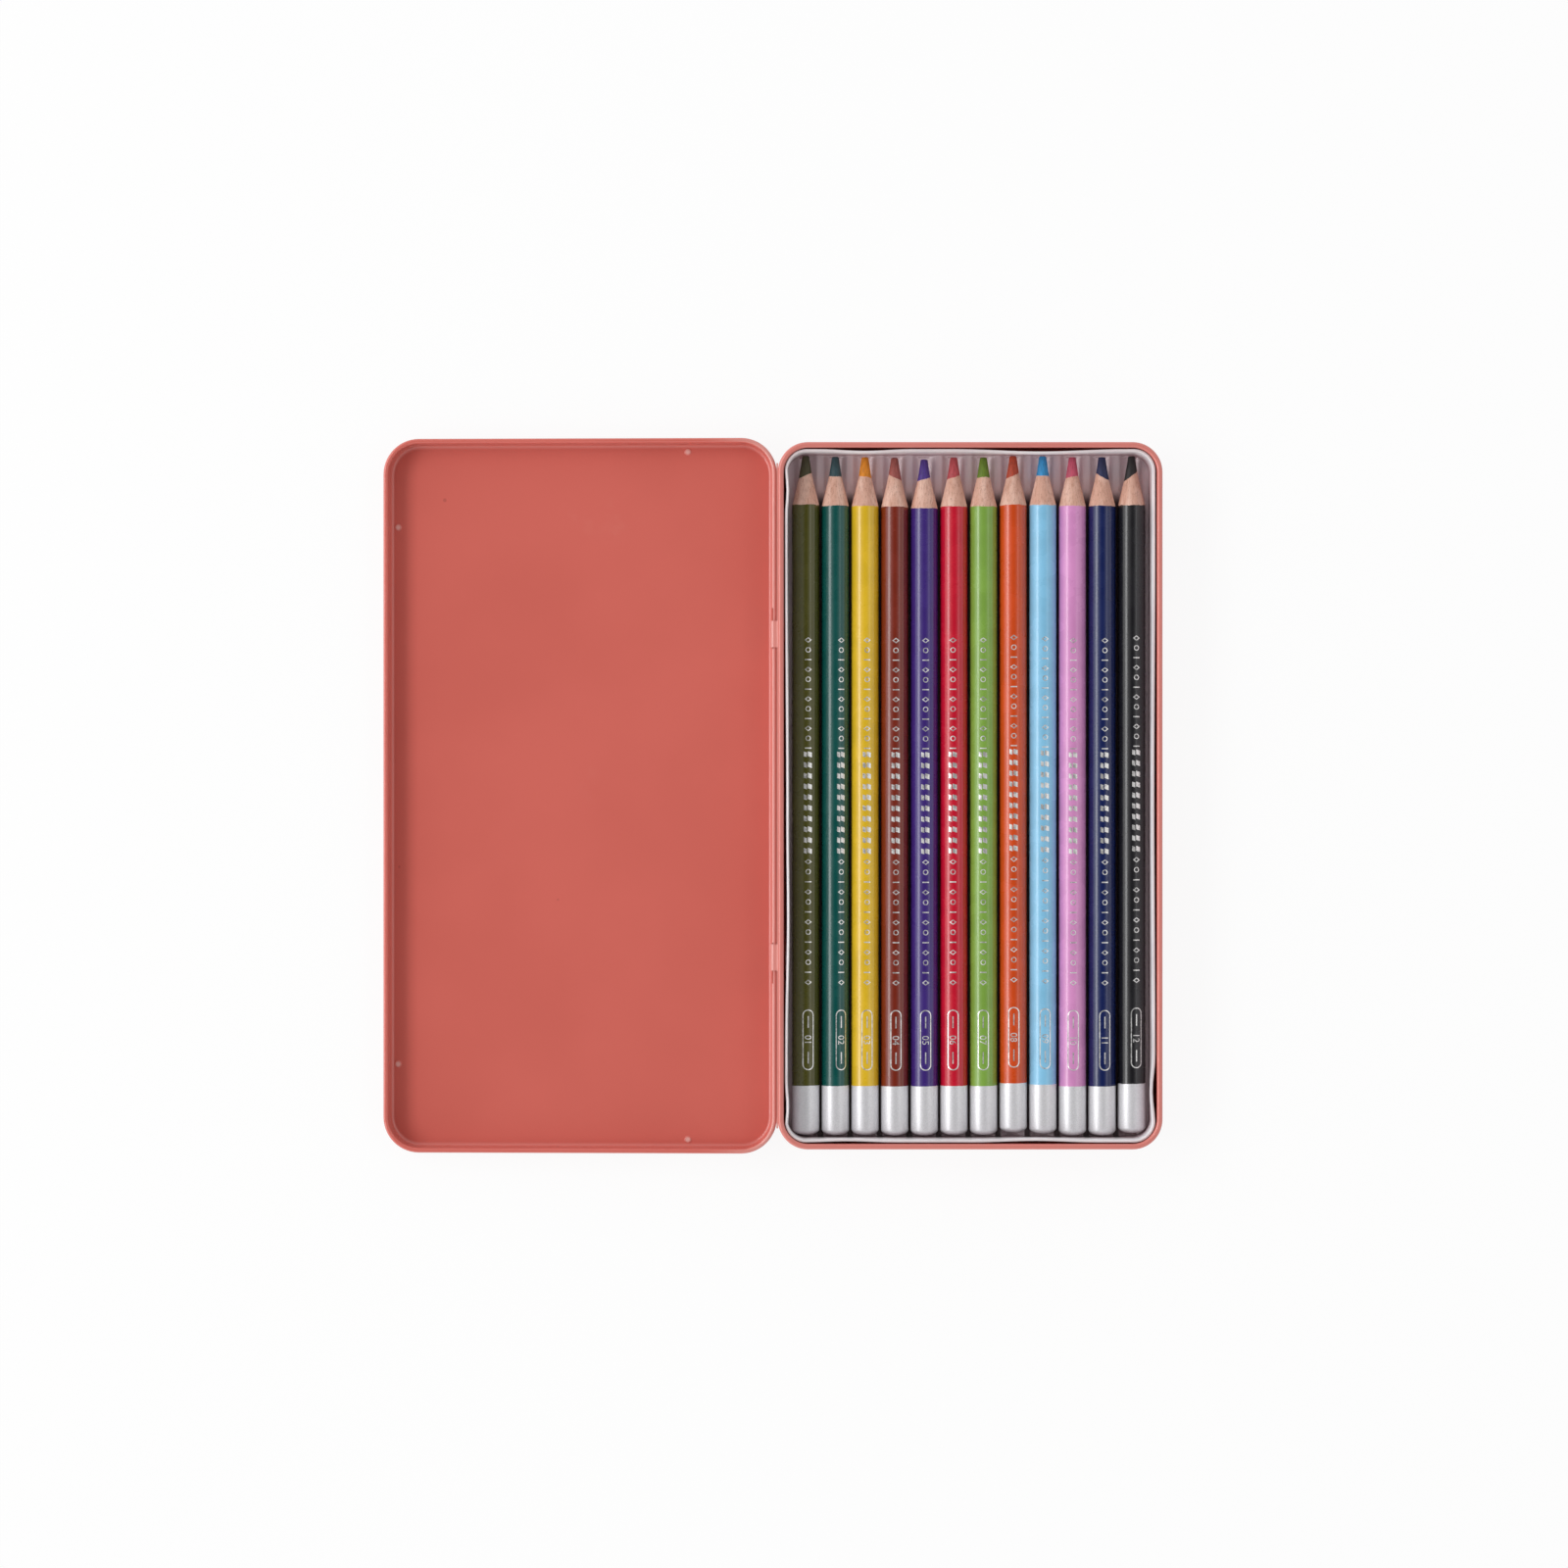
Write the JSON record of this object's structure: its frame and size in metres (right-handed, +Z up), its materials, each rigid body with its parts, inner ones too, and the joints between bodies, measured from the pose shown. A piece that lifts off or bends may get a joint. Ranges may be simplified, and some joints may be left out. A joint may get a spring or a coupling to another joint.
{
  "type": "pencil set in a hinged tin",
  "caption": "Flat hinged tin lying open, its base holding a formed tray with a row of sharpened round watercolour pencils.",
  "frame": {"origin": "middle of the base's underside, on the table", "axes": "+X from the hinge towards the base's front wall, so the opened lid lies on the -X side; +Y along the pencils towards their points; +Z up"},
  "size_m": [0.2001, 0.1838, 0.0135],
  "materials": {
    "tin_lacquer": "coral stoving lacquer on steel sheet, half gloss",
    "tray_plastic": "thin formed white plastic sheet, satin",
    "olive_lacquer": "glossy olive lacquer on wood, bare wood at the point, silver dipped end",
    "olive_pigment": "matt olive pigment core",
    "teal_lacquer": "glossy teal lacquer on wood, bare wood at the point, silver dipped end",
    "teal_pigment": "matt teal pigment core",
    "yellow_lacquer": "glossy yellow lacquer on wood, bare wood at the point, silver dipped end",
    "yellow_pigment": "matt yellow pigment core",
    "brown_lacquer": "glossy brown lacquer on wood, bare wood at the point, silver dipped end",
    "brown_pigment": "matt brown pigment core",
    "purple_lacquer": "glossy purple lacquer on wood, bare wood at the point, silver dipped end",
    "purple_pigment": "matt purple pigment core",
    "red_lacquer": "glossy red lacquer on wood, bare wood at the point, silver dipped end",
    "red_pigment": "matt red pigment core",
    "green_lacquer": "glossy green lacquer on wood, bare wood at the point, silver dipped end",
    "green_pigment": "matt green pigment core",
    "orange_lacquer": "glossy orange lacquer on wood, bare wood at the point, silver dipped end",
    "orange_pigment": "matt orange pigment core",
    "light_blue_lacquer": "glossy light blue lacquer on wood, bare wood at the point, silver dipped end",
    "light_blue_pigment": "matt light blue pigment core",
    "pink_lacquer": "glossy pink lacquer on wood, bare wood at the point, silver dipped end",
    "pink_pigment": "matt pink pigment core",
    "navy_lacquer": "glossy navy lacquer on wood, bare wood at the point, silver dipped end",
    "navy_pigment": "matt navy pigment core",
    "black_lacquer": "glossy black lacquer on wood, bare wood at the point, silver dipped end",
    "black_pigment": "matt black pigment core"
  },
  "bodies": {
    "base": {"base": "tin_lacquer"},
    "lid": {"lid": "tin_lacquer"},
    "tray": {"tray": "tray_plastic"},
    "olive_pencil": {"olive_casing": "olive_lacquer", "olive_core": "olive_pigment"},
    "teal_pencil": {"teal_casing": "teal_lacquer", "teal_core": "teal_pigment"},
    "yellow_pencil": {"yellow_casing": "yellow_lacquer", "yellow_core": "yellow_pigment"},
    "brown_pencil": {"brown_casing": "brown_lacquer", "brown_core": "brown_pigment"},
    "purple_pencil": {"purple_casing": "purple_lacquer", "purple_core": "purple_pigment"},
    "red_pencil": {"red_casing": "red_lacquer", "red_core": "red_pigment"},
    "green_pencil": {"green_casing": "green_lacquer", "green_core": "green_pigment"},
    "orange_pencil": {"orange_casing": "orange_lacquer", "orange_core": "orange_pigment"},
    "light_blue_pencil": {"light_blue_casing": "light_blue_lacquer", "light_blue_core": "light_blue_pigment"},
    "pink_pencil": {"pink_casing": "pink_lacquer", "pink_core": "pink_pigment"},
    "navy_pencil": {"navy_casing": "navy_lacquer", "navy_core": "navy_pigment"},
    "black_pencil": {"black_casing": "black_lacquer", "black_core": "black_pigment"}
  },
  "joints": [
    {"name": "lid_hinge", "type": "hinge", "parent": "base", "child": "lid", "pos_m": [-0.05013, 0, 0.00865], "axis": [0, -1, 0], "range_deg": [-181.91, 0]},
    {"name": "tray_lift", "type": "slide", "parent": "base", "child": "tray", "axis": [0, 0, 1], "range_m": [0, 0.03]},
    {"name": "olive_lift", "type": "slide", "parent": "tray", "child": "olive_pencil", "axis": [0, 0, 1], "range_m": [0, 0.03]},
    {"name": "teal_lift", "type": "slide", "parent": "tray", "child": "teal_pencil", "axis": [0, 0, 1], "range_m": [0, 0.03]},
    {"name": "yellow_lift", "type": "slide", "parent": "tray", "child": "yellow_pencil", "axis": [0, 0, 1], "range_m": [0, 0.03]},
    {"name": "brown_lift", "type": "slide", "parent": "tray", "child": "brown_pencil", "axis": [0, 0, 1], "range_m": [0, 0.03]},
    {"name": "purple_lift", "type": "slide", "parent": "tray", "child": "purple_pencil", "axis": [0, 0, 1], "range_m": [0, 0.03]},
    {"name": "red_lift", "type": "slide", "parent": "tray", "child": "red_pencil", "axis": [0, 0, 1], "range_m": [0, 0.03]},
    {"name": "green_lift", "type": "slide", "parent": "tray", "child": "green_pencil", "axis": [0, 0, 1], "range_m": [0, 0.03]},
    {"name": "orange_lift", "type": "slide", "parent": "tray", "child": "orange_pencil", "axis": [0, 0, 1], "range_m": [0, 0.03]},
    {"name": "light_blue_lift", "type": "slide", "parent": "tray", "child": "light_blue_pencil", "axis": [0, 0, 1], "range_m": [0, 0.03]},
    {"name": "pink_lift", "type": "slide", "parent": "tray", "child": "pink_pencil", "axis": [0, 0, 1], "range_m": [0, 0.03]},
    {"name": "navy_lift", "type": "slide", "parent": "tray", "child": "navy_pencil", "axis": [0, 0, 1], "range_m": [0, 0.03]},
    {"name": "black_lift", "type": "slide", "parent": "tray", "child": "black_pencil", "axis": [0, 0, 1], "range_m": [0, 0.03]}
  ]
}
